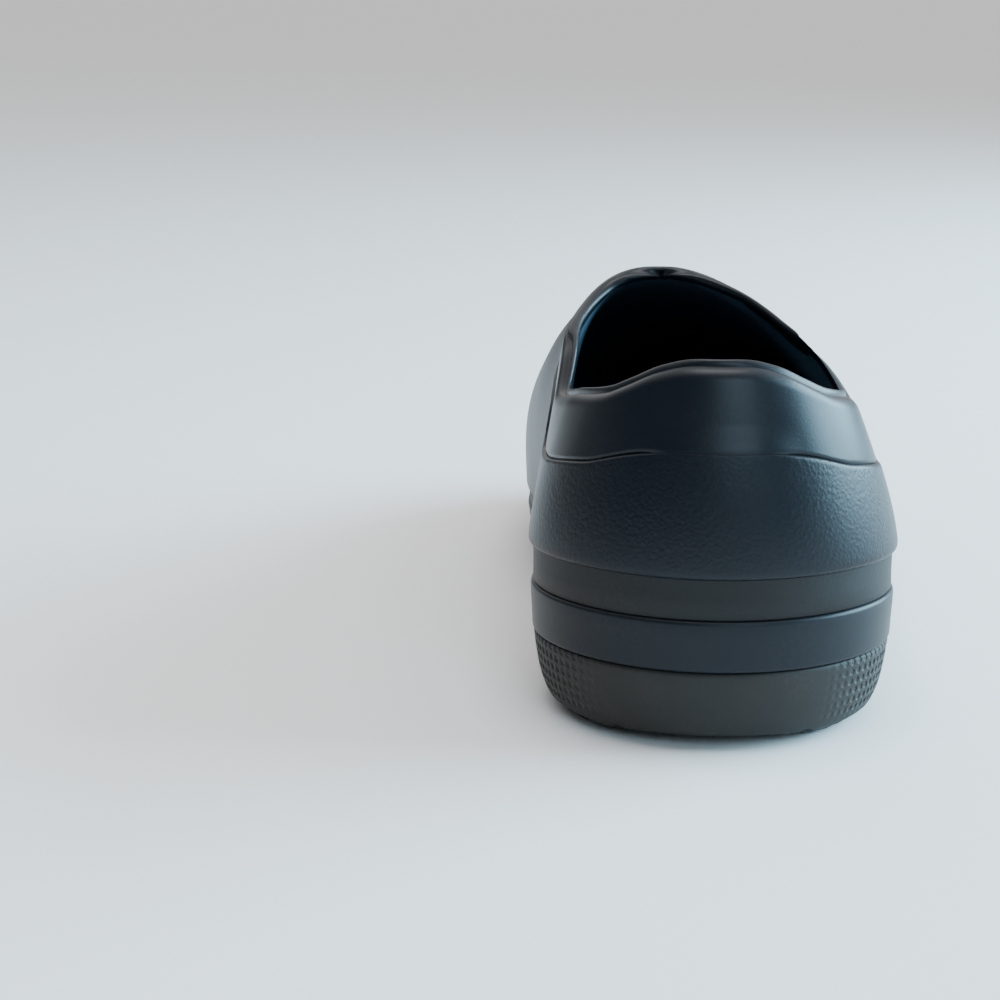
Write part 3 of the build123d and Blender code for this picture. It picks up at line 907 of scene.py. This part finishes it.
class CLOG_OT_insole(bpy.types.Operator):
    """Make the loose insole: footbed, cloth top and heel cushion"""

    bl_idname = "clog.insole"
    bl_label = "Insole"

    def execute(self, context):
        finish = context.scene.clog_finish
        foam = rubber("footbed_foam", (0.03, 0.03, 0.033), 0.8, 0.0004, 0.8, 0.4, 0.1, 0.2)
        cushion = rubber("cushion_foam", (0.05, 0.052, 0.058), 0.85, 0.0006, 0.8, 0.5, 0.05, 0.2)
        base = wall_piece("footbed", foam, footbed_rows)
        cover = wall_piece("footbed_top", knit("insole_cloth", finish.cloth_color), cover_rows)
        pieces = ((base, "footbed_base", "footbed_foam"), (cover, "footbed_cover", "footbed_cloth"))
        for piece, node, slot in pieces:
            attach(piece, "insole")
            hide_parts(node)
        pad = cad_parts["heel_cushion"]
        pad.data.materials.clear()
        pad.data.materials.append(cushion)
        return {"FINISHED"}


FLOOR_REACH = 20.0
WORLD_COLOR, WORLD_STRENGTH = (0.86, 0.93, 1.0, 1), 0.22
SUN_STRENGTH, SUN_SPREAD, SUN_HEADING = 2.3, math.radians(110), (-0.15, -0.7, -1.2)
LAMPS = (  # name, place, target, size, power, colour
    ("window", (1.3, 0.35, 0.55), (0.0, -0.06, 0.06), (1.4, 0.8), 92.0, (0.46, 0.79, 1.0)),
    ("ceiling", (0.0, -0.1, 1.3), (0.0, -0.05, 0.0), (0.7, 0.7), 9.0, (0.97, 0.98, 1.0)),
    ("fill", (0.55, -1.7, 1.0), (0.0, 0.0, 0.06), (0.9, 0.8), 13.0, (0.60, 0.84, 1.0)),
)
CAMERA_PLACE = (-0.02014, -0.64727, 0.1822)
CAMERA_YAW, CAMERA_PITCH = math.radians(3.52), math.radians(13.37)
SENSOR_WIDTH, FOCAL_LENGTH = 36, 79.812


def soft_light(name, place, target, size, power, color):
    data = bpy.data.lights.new(name, "AREA")
    data.shape = "RECTANGLE"
    data.size, data.size_y = size
    data.energy = power
    data.color = color
    lamp = bpy.data.objects.new(name, data)
    bpy.context.scene.collection.objects.link(lamp)
    lamp.location = place
    lamp.rotation_euler = (Vector(target) - Vector(place)).to_track_quat("-Z", "Y").to_euler()


class CLOG_OT_stage(bpy.types.Operator):
    """Make the pale floor, the soft lights and the camera"""

    bl_idname = "clog.stage"
    bl_label = "Stage"

    def execute(self, context):
        mesh = bpy.data.meshes.new("floor")
        corners = [(x * FLOOR_REACH, y * FLOOR_REACH, 0) for x, y in ((-1, -1), (1, -1), (1, 1), (-1, 1))]
        mesh.from_pydata(corners, [], [(0, 1, 2, 3)])
        floor = bpy.data.objects.new("floor", mesh)
        context.scene.collection.objects.link(floor)
        material = bpy.data.materials.new("pale_floor")
        tree = nodes_of(material)
        shader = add(tree, "ShaderNodeBsdfPrincipled", [
            ("Base Color", (0.9, 0.89, 0.88, 1)), ("Roughness", 0.9), ("Specular IOR Level", 0.1),
        ])
        out = add(tree, "ShaderNodeOutputMaterial")
        tree.links.new(shader.outputs[0], out.inputs[0])
        mesh.materials.append(material)
        world = bpy.data.worlds.new("studio")
        context.scene.world = world
        world.use_nodes = True
        back = world.node_tree.nodes["Background"]
        back.inputs["Color"].default_value = WORLD_COLOR
        back.inputs["Strength"].default_value = WORLD_STRENGTH
        sky = bpy.data.lights.new("overhead", "SUN")
        sky.energy = SUN_STRENGTH
        sky.angle = SUN_SPREAD
        sky.color = (1.0, 0.99, 0.97)
        obj = bpy.data.objects.new("overhead", sky)
        context.scene.collection.objects.link(obj)
        obj.rotation_euler = Vector(SUN_HEADING).to_track_quat("-Z", "Y").to_euler()
        for lamp in LAMPS:
            soft_light(*lamp)
        camera = bpy.data.cameras.new("camera")
        camera.sensor_width = SENSOR_WIDTH
        camera.lens = FOCAL_LENGTH
        obj = bpy.data.objects.new("camera", camera)
        context.scene.collection.objects.link(obj)
        level = math.cos(CAMERA_PITCH)
        ahead = Vector((-math.sin(CAMERA_YAW) * level, math.cos(CAMERA_YAW) * level, -math.sin(CAMERA_PITCH)))
        obj.location = CAMERA_PLACE
        obj.rotation_euler = ahead.to_track_quat("-Z", "Y").to_euler()
        context.scene.camera = obj
        return {"FINISHED"}


class CLOG_PT_panel(bpy.types.Panel):
    bl_label = "Garden clog"
    bl_idname = "CLOG_PT_panel"
    bl_space_type = "VIEW_3D"
    bl_region_type = "UI"
    bl_category = "Clog"

    def draw(self, context):
        finish = context.scene.clog_finish
        for name in ("skin_color", "inside_bounce_light_color", "foam_color", "tread_color", "cloth_color", "grain_size"):
            self.layout.prop(finish, name)
        for operator in OPERATORS:
            self.layout.operator(operator.bl_idname)


OPERATORS = (CLOG_OT_upper, CLOG_OT_sole, CLOG_OT_insole, CLOG_OT_stage)
CLASSES = (ClogFinish, *OPERATORS, CLOG_PT_panel)


def register():
    for cls in CLASSES:
        bpy.utils.register_class(cls)
    bpy.types.Scene.clog_finish = PointerProperty(type=ClogFinish)


def unregister():
    del bpy.types.Scene.clog_finish
    for cls in reversed(CLASSES):
        bpy.utils.unregister_class(cls)


def main():
    register()
    moulded_grain()
    handling_wear()
    dimple_rows()
    bpy.ops.clog.upper()
    bpy.ops.clog.sole()
    bpy.ops.clog.insole()
    bpy.ops.clog.stage()


if __name__ == "__main__":
    main()
